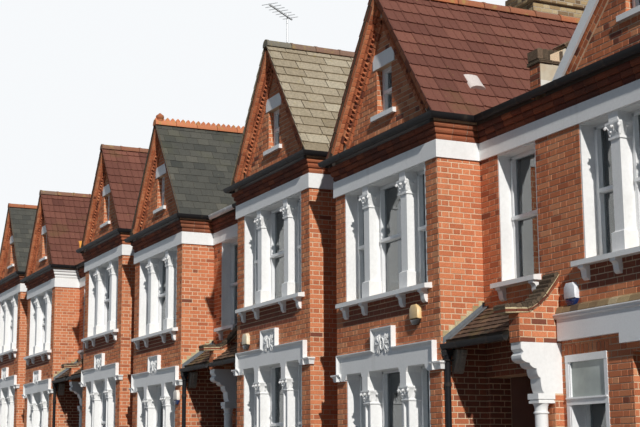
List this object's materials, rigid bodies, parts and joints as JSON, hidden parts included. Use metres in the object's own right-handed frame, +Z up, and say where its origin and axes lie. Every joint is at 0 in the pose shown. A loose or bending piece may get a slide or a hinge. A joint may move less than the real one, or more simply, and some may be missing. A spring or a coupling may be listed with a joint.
{
  "type": "terraced house row",
  "caption": "Row of brick terraced houses in stepped handed pairs, with square two-storey bays under steep gables, white stone dressings and lean-to porches.",
  "frame": {"origin": "middle of the row's box, on the lowest ground", "axes": "+X along the street to the right as seen from the street, -Y out of the fronts, +Z up"},
  "size_m": [33.91, 10.6416, 11.0593],
  "materials": {
    "brick": "matte",
    "party_brick": "matte",
    "stock_brick": "matte",
    "render": "matte",
    "white_stone": "satin",
    "grey_stone": "matte",
    "floor_timber": "matte",
    "white_joinery": "satin",
    "door_paint": "gloss",
    "glass": "gloss",
    "red_tile": "matte",
    "stone_slab": "matte",
    "slate": "satin",
    "ridge_clay": "matte",
    "pot_clay": "matte",
    "black_gutter": "satin",
    "porch_tile": "matte",
    "alarm": "satin",
    "aerial": "satin",
    "cornice_brick": "matte"
  },
  "bodies": {
    "root": {"front_walls": "brick", "gable_walls": "brick", "party_walls": "party_brick", "rear_walls": "stock_brick", "lobby_walls": "render", "ground_floors": "floor_timber", "first_floors": "floor_timber", "attic_floors": "floor_timber", "chimney_stacks": "stock_brick", "chimney_pots": "pot_clay", "roof_a": "red_tile", "roof_b": "red_tile", "roof_c": "stone_slab", "roof_d": "slate", "roof_e": "red_tile", "roof_f": "red_tile", "roof_g": "slate", "ridge_tiles": "ridge_clay", "bargeboards": "white_joinery", "parapet_coping": "grey_stone", "cornices": "cornice_brick", "friezes": "white_stone", "gutters": "black_gutter", "downpipes": "black_gutter", "first_dressings": "white_stone", "first_columns": "white_stone", "first_sills": "white_stone", "ground_dressings": "white_stone", "ground_columns": "white_stone", "ground_sills": "white_stone", "label_moulds": "white_stone", "carved_fields": "white_stone", "attic_stones": "white_stone", "side_sills": "white_stone", "sash_windows": "white_joinery", "window_glass": "glass", "rear_sills": "grey_stone", "shop_band": "white_joinery", "porch_roofs": "porch_tile", "porch_walls": "brick", "porch_copings": "grey_stone", "porch_brackets": "white_stone", "porch_columns": "white_stone", "door_frames": "white_joinery", "front_doors": "door_paint", "rear_doors": "white_joinery", "doorsteps": "grey_stone", "alarm_boxes": "alarm", "aerial": "aerial", "roof_vents": "pot_clay"}
  },
  "joints": []
}
